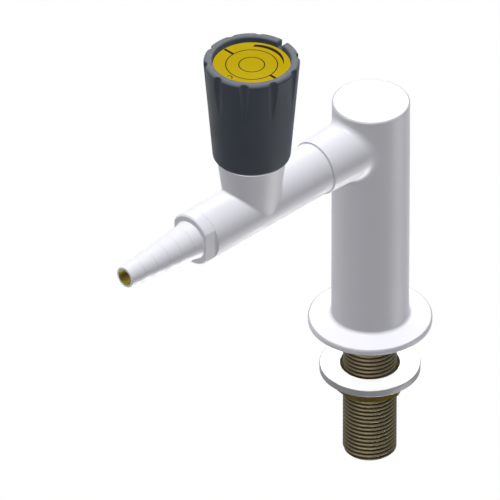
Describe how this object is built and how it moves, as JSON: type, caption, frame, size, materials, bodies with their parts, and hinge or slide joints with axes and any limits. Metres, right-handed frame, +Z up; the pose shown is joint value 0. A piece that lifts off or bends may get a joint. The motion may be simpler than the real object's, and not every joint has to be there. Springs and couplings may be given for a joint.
{
  "type": "laboratory gas tap",
  "caption": "Bench-mounted laboratory gas tap: flanged column with threaded shank, side arm with a needle valve under a fluted knob, and a serrated hose nozzle.",
  "frame": {"origin": "centre of the flange's underside, on the upper face of the bench top", "axes": "+Z up along the column, -Y along the arm towards the hose nozzle, +X to the right seen from behind the column looking along the arm"},
  "size_m": [0.048, 0.1565, 0.2135],
  "materials": {
    "white_coating": "smooth semi-gloss white epoxy powder coating on brass",
    "bright_brass": "machined bare brass",
    "aged_brass": "machined brass thread, darkened with age",
    "dull_brass": "dull olive-brown brass",
    "plated_steel": "bright plated steel, turned",
    "spring_steel": "plain steel",
    "grey_plastic": "dark slate grey moulded plastic, fine satin grain",
    "yellow_plastic": "yellow moulded plastic, semi-gloss",
    "dial_print": "dark brown pad print",
    "black_rubber": "black sealing rubber",
    "grey_rubber": "grey flat gasket rubber",
    "fibre": "red-brown fibre washer"
  },
  "bodies": {
    "tap_body": {"column": "white_coating", "threaded_shank": "aged_brass", "shank_o_ring": "black_rubber", "bench_gasket": "grey_rubber", "valve_body": "white_coating", "arm_o_ring": "black_rubber", "valve_seat": "bright_brass", "headwork_body": "bright_brass", "headwork_washer": "fibre", "hose_nozzle": "white_coating", "nozzle_gasket": "black_rubber"},
    "handle": {"spindle": "bright_brass", "spindle_o_rings": "black_rubber", "thrust_washer": "spring_steel", "spindle_circlip": "spring_steel", "knob": "grey_plastic", "knob_bush": "bright_brass", "knob_screw": "spring_steel", "indicator_disc": "yellow_plastic", "dial_marks": "dial_print"},
    "valve_needle": {"needle": "bright_brass", "needle_seal": "black_rubber"},
    "clamp_washer": {"backing_washer": "plated_steel"},
    "clamp_nut": {"backnut": "dull_brass"}
  },
  "joints": [
    {"name": "knob_turn", "type": "hinge", "parent": "tap_body", "child": "handle", "pos_m": [0, -0.0645, 0.11], "axis": [0, 0, 1], "range_deg": [0, 540]},
    {"name": "needle_lift", "type": "slide", "parent": "tap_body", "child": "valve_needle", "axis": [0, 0, 1], "range_m": [0, 0.00225]},
    {"name": "clamp_travel", "type": "slide", "parent": "tap_body", "child": "clamp_washer", "axis": [0, 0, 1], "range_m": [-0.02725, 0.01635]},
    {"name": "backnut_turn", "type": "hinge", "parent": "clamp_washer", "child": "clamp_nut", "pos_m": [0, 0, -0.0265], "axis": [0, 0, 1], "range_deg": [-5400, 3240]}
  ],
  "couplings": [
    {"joint": "needle_lift", "follows": "knob_turn", "m_per_rad": 0.00023873},
    {"joint": "clamp_travel", "follows": "backnut_turn", "m_per_rad": 0.00028871}
  ]
}
